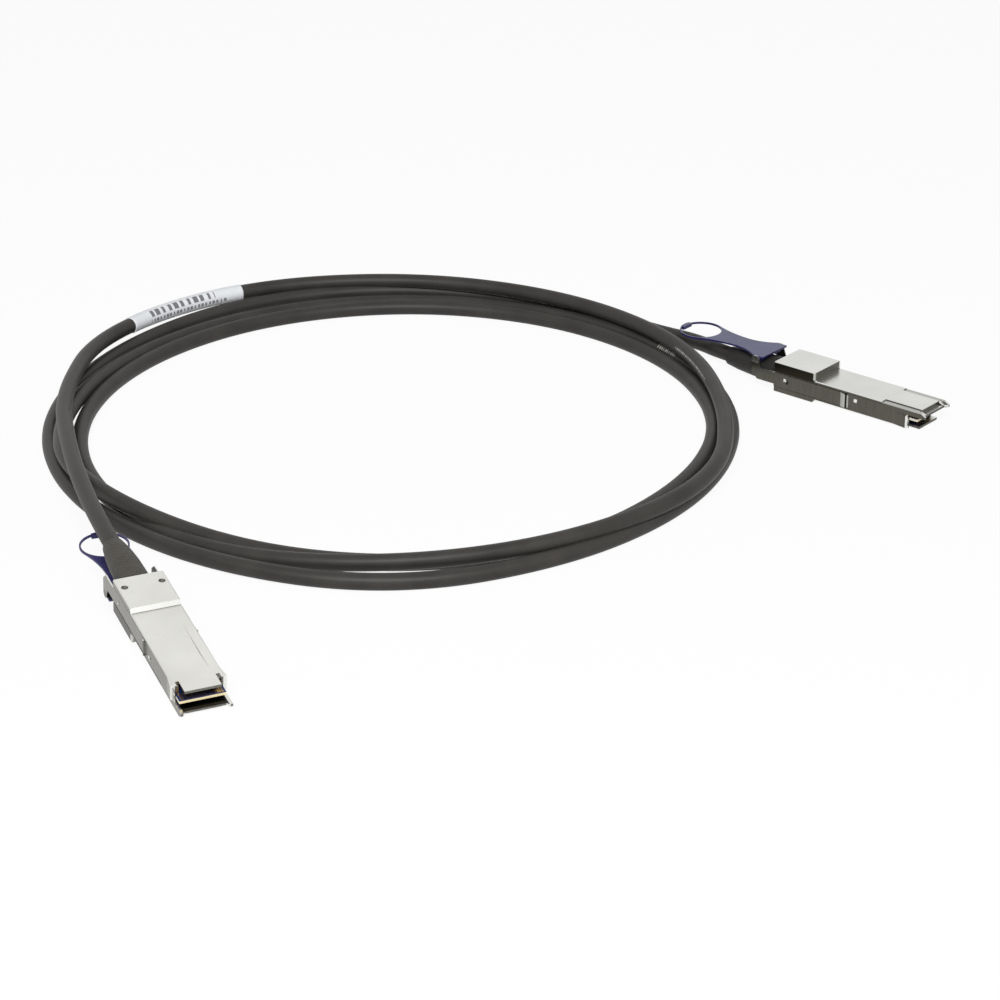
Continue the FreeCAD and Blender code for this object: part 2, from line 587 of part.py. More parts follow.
def rounded_route(corners):
    """Straight runs joined by tangent arcs."""
    edges = []
    radii = []
    start = corners[0]
    for before, corner, after in zip(corners, corners[1:], corners[2:]):
        back = (before - corner).normalize()
        ahead = (after - corner).normalize()
        half_turn = (math.pi - back.getAngle(ahead)) / 2
        reach = 0.45 * min((before - corner).Length, (after - corner).Length)
        radius = reach / math.tan(half_turn)
        radii.append(radius)
        enter = corner + back * reach
        leave = corner + ahead * reach
        bisector = (back + ahead).normalize()
        middle = corner + bisector * (radius / math.cos(half_turn) - radius)
        edges.append(Part.LineSegment(start, enter).toShape())
        edges.append(Part.Arc(enter, middle, leave).toShape())
        start = leave
    edges.append(Part.LineSegment(start, corners[-1]).toShape())
    return edges, min(radii)


def stretch(edges, start, end):
    """Part of a route between two lengths along it."""
    kept = []
    travelled = 0.0
    for edge in edges:
        a = max(start - travelled, 0.0)
        b = min(end - travelled, edge.Length)
        if b > a + 1e-6:
            first = edge.getParameterByLength(a) if a > 0 else edge.FirstParameter
            last = edge.getParameterByLength(b) if b < edge.Length else edge.LastParameter
            kept.append(edge.Curve.toShape(first, last))
        travelled += edge.Length
    return kept


def tube(edges, radius):
    """Bar of many sides along a route, inside the stated radius."""
    first = edges[0]
    at = first.valueAt(first.FirstParameter)
    along = first.tangentAt(first.FirstParameter)
    side = along.cross(V(0, 0, 1)).normalize()
    up = side.cross(along).normalize()
    corners = []
    for n in range(TUBE_SIDES):
        turn = 2 * math.pi * n / TUBE_SIDES
        corners.append(at + side * (radius * math.cos(turn)) + up * (radius * math.sin(turn)))
    section = Part.Face(Part.makePolygon(corners + corners[:1]))
    return Part.Wire(edges).makePipe(section)


def route_length(edges):
    return sum(edge.Length for edge in edges)


def on_axis(placement, behind):
    """Point of a plug's cable axis, behind the stop shoulder."""
    return placement.multVec(V(-behind, 0, ENTRY_HEIGHT))


def left_route(placement):
    """From the left crimp, round the coil as its top turn, down among the others."""
    corners = [on_axis(placement, -MOULD_REAR), on_axis(placement, EXIT_STRAIGHT)]
    corners += [V(*p) for p in LEFT_LEAD] + [station(*s) for s in CREST]
    return rounded_route(corners)


def right_route(placement):
    """From among the turns to the right crimp."""
    corners = [station(*s) for s in RIGHT_STATIONS] + [V(*p) for p in RIGHT_LEAD]
    corners += [on_axis(placement, EXIT_STRAIGHT), on_axis(placement, -MOULD_REAR)]
    return rounded_route(corners)


def coil(crest):
    """Outer shape of the turns: a low ring, wider to the left and front, and the strand on it."""
    inner = INNER_RADIUS - CABLE_RADIUS
    outer = inner + (BAND_LEFT + BAND_RIGHT + BAND_BACK + BAND_FRONT) / 4
    shift = V((BAND_RIGHT - BAND_LEFT) / 2, (BAND_BACK - BAND_FRONT) / 2, 0)
    ring = Part.makeCylinder(outer, CABLE_DIAMETER, shift)
    ring = ring.cut(Part.makeCylinder(inner, CABLE_DIAMETER + 2, V(0, 0, -1)))
    rims = [e for e in ring.Edges if e.BoundBox.ZMin > CABLE_DIAMETER - 0.01]
    return ring.makeChamfer(BAND_BEVEL, rims).fuse(crest)


def cable(placements):
    """The cable's pieces: two leads, the coiled turns and the label sleeve."""
    left, left_bend = left_route(placements["left"])
    right, right_bend = right_route(placements["right"])
    lead = stretch(left, 0, LEFT_LEAD_LENGTH)
    crest = stretch(left, LEFT_LEAD_LENGTH, route_length(left))
    sleeve = stretch(left, LABEL_START, LABEL_START + LABEL_LENGTH)
    pieces = {"cable_lead_left": tube(lead, CABLE_RADIUS),
              "cable_lead_right": tube(right, CABLE_RADIUS),
              "cable_coil": coil(tube(crest, CABLE_RADIUS)),
              "label_sleeve": tube(sleeve, CABLE_RADIUS + LABEL_THICKNESS).cut(
                  tube(sleeve, CABLE_RADIUS))}
    section = TUBE_SIDES / 2 * CABLE_RADIUS ** 2 * math.sin(2 * math.pi / TUBE_SIDES)
    for name, edges in (("left", lead), ("right", right)):
        volume = pieces["cable_lead_" + name].Volume
        print(name, "lead: length %.1f, volume over section x length %.4f"
              % (route_length(edges), volume / section / route_length(edges)))
    print("smallest bend radii: left %.1f, right %.1f" % (left_bend, right_bend))
    return pieces


def main():
    os.makedirs("parts", exist_ok=True)
    placements = {"right": right_placement(), "left": left_placement()}
    pieces = {}
    for name, make in PLUG_PIECES.items():
        for side, placement in placements.items():
            bend = (TAB_DROOP[side], TAB_SWAY[side]) if make is pull_tab else ()
            placed = make(*bend)
            placed.Placement = placement.multiply(placed.Placement)
            pieces[side + "_" + name] = placed
    box = FreeCAD.BoundBox()
    for shape in pieces.values():
        box.add(shape.optimalBoundingBox())
    pieces.update(cable(placements))
    shift = V(-box.Center.x, -box.Center.y, -box.ZMin)
    print("layout moved by", tuple(round(c, 4) for c in shift))
    print("plugs span", [round(c, 3) for c in (box.XLength, box.YLength, box.ZLength)])
    for name, shape in pieces.items():
        shape.translate(shift)
        if not shape.isValid():
            print("NOT VALID:", name)
        shape.exportStep("parts/" + name + ".step")


main()
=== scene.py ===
"""Direct attach copper cable: finishes, cable, floor and lights.  Lengths in the lists are millimetres."""
import bpy
import math
from mathutils import Matrix, Vector


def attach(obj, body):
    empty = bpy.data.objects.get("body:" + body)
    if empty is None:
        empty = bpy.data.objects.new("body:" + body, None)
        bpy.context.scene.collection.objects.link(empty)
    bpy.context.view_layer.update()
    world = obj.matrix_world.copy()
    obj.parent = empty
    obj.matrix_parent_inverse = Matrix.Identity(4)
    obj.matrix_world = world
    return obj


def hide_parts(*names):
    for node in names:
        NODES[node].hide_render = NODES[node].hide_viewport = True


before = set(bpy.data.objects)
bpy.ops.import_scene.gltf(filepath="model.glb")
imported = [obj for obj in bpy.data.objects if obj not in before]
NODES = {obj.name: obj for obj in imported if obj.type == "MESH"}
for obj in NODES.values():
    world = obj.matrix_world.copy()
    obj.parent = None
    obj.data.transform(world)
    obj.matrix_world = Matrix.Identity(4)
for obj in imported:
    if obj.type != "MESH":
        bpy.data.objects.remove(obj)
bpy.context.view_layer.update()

MM = 0.001

# Layout's zero is the coil's centre; the row frame's is between the plugs
SHIFT = Vector((-54.5512, 79.1643, 0.0))
CABLE = 6.5
RADIUS = CABLE / 2 * MM

# Where each plug's stop shoulder lies, and the way its nose points
RIGHT_AT = (175.7, 32.5, 1.5)
RIGHT_HEADING = -40.1
LEFT_AT = (-78.8, -190.2, 14.878)
LEFT_HEADING = -66.0
# The left plug is turned over and leans on its nose
LEFT_LEAN = 7.35
TURNED_OVER = 180


def place(x, y, z):
    """Layout millimetres to row-frame metres."""
    return (Vector((x, y, z)) + SHIFT) * MM


def turn(degrees, axis):
    return Matrix.Rotation(math.radians(degrees), 4, axis)


RIGHT = Matrix.Translation(place(*RIGHT_AT)) @ turn(RIGHT_HEADING, "Z")
LEFT = (Matrix.Translation(place(*LEFT_AT)) @ turn(LEFT_HEADING, "Z")
        @ turn(LEFT_LEAN, "Y") @ turn(TURNED_OVER, "X"))
PLUGS = {"right": RIGHT, "left": LEFT}


def local(side, x, y, z):
    """Plug millimetres to row-frame metres."""
    return PLUGS[side] @ (Vector((x, y, z)) * MM)


# ---------------------------------------------------------------- camera
CAMERA_AT = (40.0, -1102.0, 481.7)
CAMERA_TILT = 65.0
LENS = 106.63
SENSOR = 36.0

camera_data = bpy.data.cameras.new("camera")
camera_data.sensor_width = SENSOR
camera_data.lens = LENS
camera_data.clip_start = 0.05
camera_data.clip_end = 30.0
camera = bpy.data.objects.new("camera", camera_data)
bpy.context.scene.collection.objects.link(camera)
camera.location = place(*CAMERA_AT)
camera.rotation_euler = (math.radians(CAMERA_TILT), 0.0, 0.0)
bpy.context.scene.camera = camera

# ---------------------------------------------------------------- materials


MIX_SHARE = 0
MIX_FIRST = 6
MIX_SECOND = 7
MIX_RESULT = 2


class Nodes:
    """Small helper round one material's node tree; sockets go in and come out."""

    def __init__(self, name, base, rough, metallic=0.0, gloss=None):
        self.material = bpy.data.materials.new(name)
        self.material.use_nodes = True
        self.tree = self.material.node_tree
        self.shader = self.tree.nodes["Principled BSDF"]
        self.shader.inputs["Base Color"].default_value = (*base, 1.0)
        self.shader.inputs["Roughness"].default_value = rough
        self.shader.inputs["Metallic"].default_value = metallic
        if gloss is not None:
            self.shader.inputs["Specular IOR Level"].default_value = gloss
        self.coords = self.add("ShaderNodeTexCoord").outputs

    def add(self, kind, **values):
        node = self.tree.nodes.new(kind)
        for key, value in values.items():
            if key in node.inputs:
                node.inputs[key].default_value = value
            else:
                setattr(node, key, value)
        return node

    def feed(self, value, target):
        """Give an input a socket, a colour or a number."""
        if isinstance(value, bpy.types.NodeSocket):
            self.tree.links.new(value, target)
        elif isinstance(value, tuple):
            target.default_value = (*value, 1.0)
        else:
            target.default_value = value

    def noise(self, scale, detail=3.0, rough=0.55, across=None):
        node = self.add("ShaderNodeTexNoise", Scale=scale, Detail=detail, Roughness=rough)
        self.feed(across or self.coords["Object"], node.inputs["Vector"])
        return node.outputs["Fac"]

    def ramp(self, source, low, high, ends=(0.3, 0.7)):
        """Colour between two tones as a value passes two ends."""
        node = self.add("ShaderNodeValToRGB")
        for element, at, colour in zip(node.color_ramp.elements, ends, (low, high)):
            element.position = at
            element.color = (*colour, 1.0)
        self.feed(source, node.inputs["Fac"])
        return node.outputs["Color"]

    def spread(self, source, base, share):
        """Cloudy tone a share below and above a base colour."""
        low = tuple(c * (1 - share) for c in base)
        high = tuple(min(1.0, c * (1 + share)) for c in base)
        return self.ramp(source, low, high)

    def remap(self, value, limits):
        node = self.add("ShaderNodeMapRange", **limits)
        self.feed(value, node.inputs["Value"])
        return node.outputs["Result"]

    def step(self, value, edge, width):
        """Soft step from 0 to 1 as a value passes an edge."""
        return self.remap(value, {"From Min": edge - width / 2, "From Max": edge + width / 2})

    def between(self, value, low, high, soft=0.2):
        return self.math("SUBTRACT", self.step(value, low, soft), self.step(value, high, soft))

    def math(self, operation, *values):
        """A maths node on sockets or numbers."""
        node = self.add("ShaderNodeMath", operation=operation)
        for value, target in zip(values, node.inputs):
            self.feed(value, target)
        return node.outputs[0]

    def wave(self, value, turns):
        """Sine wave with a number of turns to each unit of the value."""
        return self.math("SINE", self.math("MULTIPLY", value, 2 * math.pi * turns))

    def blend(self, mask, a, b):
        """Colour a where the mask is 0, b where it is 1."""
        node = self.add("ShaderNodeMix", data_type="RGBA")
        for k, value in ((MIX_SHARE, mask), (MIX_FIRST, a), (MIX_SECOND, b)):
            self.feed(value, node.inputs[k])
        return node.outputs[MIX_RESULT]

    def bump(self, height, strength, depth, below=None):
        node = self.add("ShaderNodeBump", Strength=strength, Distance=depth * MM)
        self.feed(height, node.inputs["Height"])
        if below:
            self.feed(below, node.inputs["Normal"])
        self.feed(node.outputs["Normal"], self.shader.inputs["Normal"])
        return node.outputs["Normal"]

    def split(self, vector):
        parts = self.add("ShaderNodeSeparateXYZ")
        self.feed(vector, parts.inputs["Vector"])
        return parts.outputs[0], parts.outputs[1], parts.outputs[2]

    def into_plug(self, side, source, at=(0, 0, 0), scale=(1, 1, 1)):
        """A place or direction along the plug's own axes."""
        node = self.add("ShaderNodeMapping", vector_type="TEXTURE")
        node.inputs["Rotation"].default_value = PLUGS[side].to_euler()
        node.inputs["Location"].default_value = at
        node.inputs["Scale"].default_value = scale
        self.feed(self.coords[source], node.inputs["Vector"])
        return node.outputs["Vector"]

    def spot(self, side):
        """Place on the plug in its own millimetres."""
        return self.split(self.into_plug(side, "Object", PLUGS[side].translation, (MM, MM, MM)))

    def facing(self, side):
        """Which way the surface faces along the plug's own axes."""
        return self.split(self.into_plug(side, "Normal"))

    def surface(self, tone, cloud, rough, grain, strength, depth=0.05, below=None):
        """Colour, cloudy roughness and a fine grain; gives the finished material."""
        self.feed(tone, self.shader.inputs["Base Color"])
        low, high = rough
        cloudy = self.remap(cloud, {"To Min": low, "To Max": high})
        self.feed(cloudy, self.shader.inputs["Roughness"])
        self.bump(self.noise(grain, 2.0), strength, depth, below)
        return self.material


def jacket_material():
    """Satin black jacket, faintly cloudy, with a slight unevenness along it."""
    n = Nodes("jacket", (0.08, 0.08, 0.08), 0.5, gloss=0.2)
    cloud = n.noise(70.0, 4.0)
    tone = n.ramp(cloud, (0.030, 0.0275, 0.025), (0.044, 0.0405, 0.037), (0.35, 0.7))
    fine = n.bump(n.noise(2200.0, 2.0), 0.08, 0.05)
    return n.surface(tone, cloud, (0.42, 0.50), 240.0, 0.12, 0.2, fine)


# Tones of each plug's flat faces, lighter on the left plug as painted light, and of its sides, darkened as
# painted shade
FLAT_COLOUR_AND_PAINTED_LIGHT = {"right": (0.655, 0.655, 0.63), "left": (0.725, 0.72, 0.68)}
SHADE = {"right": (0.105, 0.100, 0.084), "left": (0.185, 0.180, 0.160)}
# Painted light on slanted faces such as the ramp
SLOPE_PAINTED_LIGHT = (0.66, 0.66, 0.64)
# Painted highlight on upright corners
CORNER_PAINTED_HIGHLIGHT = (0.80, 0.80, 0.77)
# How many times taller than wide the faint marks of drawing are on the sides
DRAWN = 8.0


def metal_material(name, side, marks, rough=0.27):
    """Nickel or sheet steel: flat faces lighter on the left plug as painted light, painted highlights on
    slopes and upright corners, and sides darkened as painted shade, with faint upright streaks.

    Each mark is a span of plug millimetres along x, y and z, None for the whole way, and a colour.
    """
    n = Nodes(name, (0.7, 0.7, 0.67), rough, 1.0)
    axes = n.spot(side)
    nx, ny, nz = n.facing(side)
    cloud = n.noise(60.0, 4.0)
    streak = n.noise(900.0, 3.0, 0.6, n.into_plug(side, "Object", scale=(1.0, 1.0, DRAWN)))
    flat = n.spread(cloud, FLAT_COLOUR_AND_PAINTED_LIGHT[side], 0.05)
    steep = n.spread(streak, SHADE[side], 0.12)
    # Sides take the painted shade, slanted faces the painted light, flat faces the flat tone
    level = n.math("ABSOLUTE", nz)
    slope = n.blend(n.step(level, 0.8, 0.1), SLOPE_PAINTED_LIGHT, flat)
    tone = n.blend(n.step(level, 0.5, 0.15), steep, slope)
    # Painted highlight on upright corners
    corner = n.math("ABSOLUTE", n.math("MULTIPLY", nx, ny))
    tone = n.blend(n.step(corner, 0.3, 0.2), tone, CORNER_PAINTED_HIGHLIGHT)
    for *spans, colour in marks:
        mask = None
        for axis, span in zip(axes, spans):
            if span is None:
                continue
            inside = n.between(axis, *span)
            mask = inside if mask is None else n.math("MULTIPLY", mask, inside)
        tone = n.blend(mask, tone, colour)
    return n.surface(tone, cloud, (rough * 0.85, rough * 1.15), 3200.0, 0.08, 0.04)


# From the rear to the front of the strap's yoke, darkened on the turned-over plug as painted shade
YOKE = (-34.0, -27.0)


def tab_material(name, side):
    """Navy strap, paler on its upper face and darker underneath as painted light and shade, with painted
    shade at the yoke of the turned-over plug.
    """
    n = Nodes(name, (0.05, 0.05, 0.14), 0.42, gloss=0.4)
    nz = n.facing(side)[2]
    cloud = n.noise(160.0, 3.0)
    top = n.ramp(cloud, (0.075, 0.078, 0.150), (0.105, 0.108, 0.190))
    # Painted shade on the underside
    under = n.ramp(cloud, (0.014, 0.012, 0.075), (0.022, 0.018, 0.105))
    tone = n.blend(n.step(nz, 0.5, 0.3), under, top)
    # Painted shade at the yoke of the turned-over plug
    if side == "left":
        x = n.spot(side)[0]
        tone = n.blend(n.between(x, *YOKE), tone, (0.020, 0.020, 0.030))
    return n.surface(tone, cloud, (0.36, 0.48), 1500.0, 0.12)


# The cable's axis above the plug's belly, and the boot's grip pattern, whose ridges are painted light,
# lighter on the left boot
CABLE_HEIGHT = 4.25
BOOT_RADIUS = 5.2
GRIP_PITCH = 2.3
GRIP_PAINTED_LIGHT = {"right": (0.034, 0.032, 0.030), "left": (0.082, 0.074, 0.062)}


def boot_material(name, side):
    """Black rubber with a fine diamond grip pattern moulded round it; its ridges are lighter than its
    grooves as painted light and shade.
    """
    n = Nodes(name, (0.012, 0.012, 0.012), 0.5, gloss=0.25)
    x, y, z = n.spot(side)
    angle = n.math("ARCTAN2", y, n.math("SUBTRACT", z, CABLE_HEIGHT))
    around = n.math("MULTIPLY", angle, BOOT_RADIUS)
    bands = [n.math("ABSOLUTE", n.wave(n.math(way, x, around), 1 / GRIP_PITCH))
             for way in ("ADD", "SUBTRACT")]
    pattern = n.math("MINIMUM", *bands)
    # Painted light on the ridges, painted shade in the grooves
    tone = n.blend(n.step(pattern, 0.35, 0.3), (0.008, 0.008, 0.008), GRIP_PAINTED_LIGHT[side])
    raised = n.bump(pattern, 0.5, 0.2)
    return n.surface(tone, n.noise(200.0, 3.0), (0.44, 0.58), 1800.0, 0.1, below=raised)


def card_material(name, side):
    """Solder mask on the faces, bare board along the cut edges."""
    n = Nodes(name, (0.02, 0.05, 0.2), 0.4)
    nx, ny, _ = n.facing(side)
    cloud = n.noise(300.0, 3.0)
    mask = n.ramp(cloud, (0.006, 0.016, 0.085), (0.010, 0.026, 0.125))
    tone = n.blend(n.step(n.math("ABSOLUTE", ny), 0.5, 0.3), mask, (0.60, 0.57, 0.47))
    tone = n.blend(n.step(nx, 0.5, 0.3), tone, (0.86, 0.74, 0.45))
    return n.surface(tone, cloud, (0.32, 0.46), 1800.0, 0.1)


# Rows of bars on the label: how many fit its length, their ends, the row's edges and the colour
LABEL_ROWS = ((17, (0.18, 0.77), (0.31, 0.45), (0.17, 0.17, 0.18)),
              (31, (0.17, 0.86), (0.20, 0.265), (0.24, 0.24, 0.25)))


def label_material():
    """White film with two rows of plain grey bars."""
    n = Nodes("label_film", (0.8, 0.82, 0.85), 0.42)
    cloud = n.noise(240.0, 3.0)
    tone = n.ramp(cloud, (0.76, 0.78, 0.81), (0.83, 0.85, 0.88))
    u, v, _ = n.split(n.coords["UV"])
    for bars, ends, rows, colour in LABEL_ROWS:
        uneven = n.math("MULTIPLY", n.wave(u, bars * 0.31), 0.6)
        bar = n.step(n.math("ADD", n.wave(u, bars), uneven), -0.1, 0.3)
        field = n.math("MULTIPLY", n.between(u, *ends, 0.004), n.between(v, *rows, 0.006))
        tone = n.blend(n.math("MULTIPLY", bar, field), tone, colour)
    return n.surface(tone, cloud, (0.38, 0.46), 1800.0, 0.1)


def plain_material(name, base, rough, metallic=0.0, vary=0.12):
    n = Nodes(name, base, rough, metallic)
    cloud = n.noise(240.0, 3.0)
    limits = (rough * 0.9, min(1.0, rough * 1.12))
    return n.surface(n.spread(cloud, base, vary), cloud, limits, 1800.0, 0.1)


JACKET = jacket_material()
GOLD = plain_material("gold", (0.80, 0.52, 0.18), 0.28, 1.0)
BLACK = plain_material("moulding", (0.012, 0.012, 0.012), 0.5)
CERAMIC = plain_material("ceramic", (0.45, 0.33, 0.22), 0.5)
WIRE = plain_material("wire", (0.75, 0.75, 0.72), 0.4)
BRASS = plain_material("ferrule", (0.75, 0.58, 0.30), 0.35, 1.0)
LABEL = label_material()
PRINT = plain_material("jacket_print", (0.34, 0.33, 0.31), 0.5, 0.0, 0.3)
RIVET = plain_material("rivet", (0.16, 0.155, 0.14), 0.34, 1.0)

# Tones of the marks on the plugs, nearly all painted highlights and painted shade
BOX_SHADE = (0.026, 0.023, 0.016)
STRIP_TONE = (0.42, 0.42, 0.395)
BARB_PAINTED_HIGHLIGHT = (0.46, 0.46, 0.43)
PAINTED_HIGHLIGHT = (0.82, 0.82, 0.79)
EDGE_PAINTED_HIGHLIGHT = (0.60, 0.60, 0.57)
RAMP_FOOT_PAINTED_SHADE = (0.30, 0.29, 0.26)
LIP_PAINTED_SHADE = (0.03, 0.03, 0.03)
BRIDGE_PAINTED_SHADE = (0.03, 0.03, 0.035)
DIMPLE_PAINTED_SHADOW = (0.01, 0.01, 0.01)
# Ears: painted light on the right plug, painted shade on the left
EAR_PAINTED_LIGHT_AND_SHADE = {"right": (0.50, 0.49, 0.45), "left": (0.095, 0.090, 0.080)}

# Places on the plug: x forward from the stop shoulder, y across, z up from the belly
WALL_END = 45.6
STRIP_START = 33.0
DETENT = 20.3
ARM_END = 15.5
DIMPLE_X = -14.6
DIMPLE_Z = 4.3
ARM_HEIGHT = (1.2, 6.6)
WALL = (8.5, 9.8)


def both_sides(x, y, z, colour):
    """The same mark on the plug's left and right side."""
    return [(x, y, z, colour), (x, (-y[1], -y[0]), z, colour)]


# Painted shade on the sides of the raised box, painted highlights on its front corners, the strips beside
# the nose, and painted shade under the lip
COVER_MARKS = both_sides((-21, -0.35), (8.6, 9.5), (7.6, 11.6), BOX_SHADE)
COVER_MARKS += both_sides((-0.8, 0.3), (8.4, 9.5), (8.7, 11.7), EDGE_PAINTED_HIGHLIGHT)
COVER_MARKS += both_sides((STRIP_START, 60), (6.25, 9.3), (7.9, 8.25), STRIP_TONE)
COVER_MARKS += [((44, 53.9), (-8, 8), (5.6, 6.15), LIP_PAINTED_SHADE)]
# Painted highlights on the front edges of the walls, on a strip ahead of each barb and on the detents, and
# painted shade at the foot of the ramp
SHELL_MARKS = both_sides((WALL_END - 0.7, WALL_END + 0.3), WALL, (-1, 8), PAINTED_HIGHLIGHT)
SHELL_MARKS += both_sides((15.9, 16.7), WALL, ARM_HEIGHT, BARB_PAINTED_HIGHLIGHT)
SHELL_MARKS += both_sides((DETENT - 0.8, DETENT + 0.7), (8.5, 10.2), (4.5, 5.9), PAINTED_HIGHLIGHT)
SHELL_MARKS += [((-0.05, 0.35), (-8.9, 8.9), (-0.3, 0.3), RAMP_FOOT_PAINTED_SHADE)]
# Painted highlights on the barbs and on the lit half of each dimple, painted shadow in the hollow half,
# and painted shade on the bridge between the arms
SLIDER_MARKS = [((ARM_END - 1.3, ARM_END + 0.6), None, ARM_HEIGHT, BARB_PAINTED_HIGHLIGHT),
                ((DIMPLE_X - 0.9, DIMPLE_X + 0.2), None, (DIMPLE_Z - 0.3, DIMPLE_Z + 1.1), PAINTED_HIGHLIGHT),
                ((DIMPLE_X + 0.3, DIMPLE_X + 1.3), None, (DIMPLE_Z - 1.0, DIMPLE_Z + 0.6), DIMPLE_PAINTED_SHADOW),
                ((-33, -28), (-8.3, 8.3), (9, 13), BRIDGE_PAINTED_SHADE)]

for side in PLUGS:
    # Ears: painted light on the right plug, painted shade on the left
    painted_ear_marks = both_sides((-33.5, -28.4), (8.35, 9.9), (8.8, 13), EAR_PAINTED_LIGHT_AND_SHADE[side])
    steel = metal_material(side + "_slider_steel", side, SLIDER_MARKS + painted_ear_marks, 0.25)
    wear = {"lower_shell": metal_material(side + "_shell_nickel", side, SHELL_MARKS),
            "upper_shell": metal_material(side + "_cover_nickel", side, COVER_MARKS),
            "latch_slider": steel, "return_springs": steel,
            "paddle_card": card_material(side + "_card", side),
            "cable_boot": boot_material(side + "_boot_rubber", side),
            "pull_tab": tab_material(side + "_tab_navy", side),
            "shell_rivets": RIVET, "contacts": GOLD, "memory_chip": BLACK, "capacitors": CERAMIC,
            "wire_pairs": WIRE, "inner_mould": BLACK, "crimp_ferrule": BRASS}
    for piece, material in wear.items():
        data = NODES[side + "_" + piece].data
        data.materials.clear()
        data.materials.append(material)

# ---------------------------------------------------------------- the cable
# Radius of the inner strand, and degrees between the stations of a turn
INNER = 126.5
STEP = 30
# Along a plug: the cable's end inside it, where it leaves the boot, and where it starts to bend
CABLE_END = -12.7
BEND_START = -52.0
LEFT_LEAD = [(-115.5, -99.0, 18.2), (-127.5, -53.0, 16.8), (-137.5, 2.0, 14.0)]
RIGHT_LEAD = [(108.0, 96.0, 3.8), (125.0, 81.5, 5.2)]
# Each turn from the left side on round the back: how far outside the inner strand, and how high
TURNS = [
    [None, (20, 11.0), (23, 9.6), (15, 9.8), (9.5, 9.8), (6, 9.6),
     (1.8, 9.6), (12.0, 9.6), (8.0, 7.6), (9.0, 6.4), (10.6, 3.3), (5.0, 3.3)],
    [(1.8, 3.3), (0.2, 3.3), (0, 3.3), (0, 3.3), (0, 3.3), (0, 3.3),
     (0, 3.3), (-0.5, 4.2), (3.2, 3.4), (3.8, 3.3), (2.4, 3.3), (15.0, 12.6)],
    [(7.2, 6.8), (6.8, 3.6), (6.8, 3.3), (6.8, 3.3), (6.8, 3.3), (6.8, 3.3),
     (6.8, 3.3), (7.6, 3.3), (11.6, 3.3), (20.8, 3.3), (17.6, 4.0), (14.4, 3.3)],
    [(14.6, 3.3), (14.6, 4.0), (16.4, 5.6), (15.4, 5.4), (14, 3.5)],
]


def coil_points():
    """Corners of the turns, so that the smooth line keeps each stated radius."""
    points = []
    for lap in TURNS:
        for k, spot in enumerate(lap):
            if spot is None:
                continue
            angle = math.radians(180 - STEP * k)
            reach = (INNER + spot[0]) / math.cos(math.radians(STEP / 2))
            points.append(place(reach * math.cos(angle), reach * math.sin(angle), spot[1]))
    return points


def on_axis(side, x):
    """Point on the cable's axis in a plug."""
    return local(side, x, 0, CABLE_HEIGHT)


route = [on_axis("left", CABLE_END), on_axis("left", BEND_START)]
route += [place(*p) for p in LEFT_LEAD] + coil_points() + [place(*p) for p in RIGHT_LEAD]
route += [on_axis("right", BEND_START), on_axis("right", CABLE_END)]


def nurbs(name, points, bevel):
    data = bpy.data.curves.new(name, "CURVE")
    data.dimensions = "3D"
    data.resolution_u = 16
    spline = data.splines.new("NURBS")
    spline.points.add(len(points) - 1)
    for point, co in zip(spline.points, points):
        point.co = (*co, 1.0)
    spline.order_u = 3
    spline.use_endpoint_u = True
    data.bevel_depth = bevel
    data.bevel_resolution = 7
    data.use_fill_caps = True
    obj = bpy.data.objects.new(name, data)
    bpy.context.scene.collection.objects.link(obj)
    return obj


def line_of(points):
    """The smooth line itself, as points read back from an unbevelled curve."""
    thin = nurbs("line_probe", points, 0.0)
    bpy.context.view_layer.update()
    mesh = bpy.data.meshes.new_from_object(thin)
    line = [v.co.copy() for v in mesh.vertices]
    bpy.data.meshes.remove(mesh)
    bpy.data.objects.remove(thin)
    return line


LINE = line_of(route)
TRAVEL = [0.0]
for a, b in zip(LINE, LINE[1:]):
    TRAVEL.append(TRAVEL[-1] + (b - a).length)


def along(s):
    """Point, upward normal and sideways normal of the cable at a length."""
    s = min(max(s, 0.0), TRAVEL[-1])
    k = 1
    while k < len(TRAVEL) - 1 and TRAVEL[k] < s:
        k += 1
    share = (s - TRAVEL[k - 1]) / (TRAVEL[k] - TRAVEL[k - 1])
    point = LINE[k - 1].lerp(LINE[k], share)
    ahead = (LINE[min(k + 1, len(LINE) - 1)] - LINE[max(k - 2, 0)]).normalized()
    sideways = ahead.cross(Vector((0, 0, 1))).normalized()
    up = sideways.cross(ahead).normalized()
    return point, up, sideways


def nearest(x, y, z):
    """Length along the cable at its nearest point to a place in the layout."""
    target = place(x, y, z)
    k = min(range(len(LINE)), key=lambda i: (LINE[i] - target).length)
    return TRAVEL[k]


cable = nurbs("cable", route, RADIUS)
cable.data.materials.append(JACKET)
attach(cable, "cable")
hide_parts("cable_coil", "cable_lead_left", "cable_lead_right")


def mesh_piece(name, vertices, faces, material, uvs=None):
    """Smooth piece that rides with the cable."""
    data = bpy.data.meshes.new(name)
    data.from_pydata([tuple(v) for v in vertices], [], faces)
    data.materials.append(material)
    if uvs is not None:
        layer = data.uv_layers.new(name="UVMap")
        for loop in data.loops:
            layer.data[loop.index].uv = uvs[loop.vertex_index]
    for polygon in data.polygons:
        polygon.use_smooth = True
    data.update()
    obj = bpy.data.objects.new(name, data)
    bpy.context.scene.collection.objects.link(obj)
    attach(obj, "cable")
    return obj


def grid_faces(rows, columns, first=0):
    """Faces between neighbouring rows of points."""
    faces = []
    for i in range(rows - 1):
        for j in range(columns - 1):
            corner = first + i * columns + j
            faces.append((corner, corner + 1, corner + columns + 1, corner + columns))
    return faces


LABEL_LENGTH = 62 * MM
LABEL_THICKNESS = 0.3 * MM
LABEL_RIM = 0.4 * MM
LABEL_RINGS = 48
LABEL_SIDES = 40


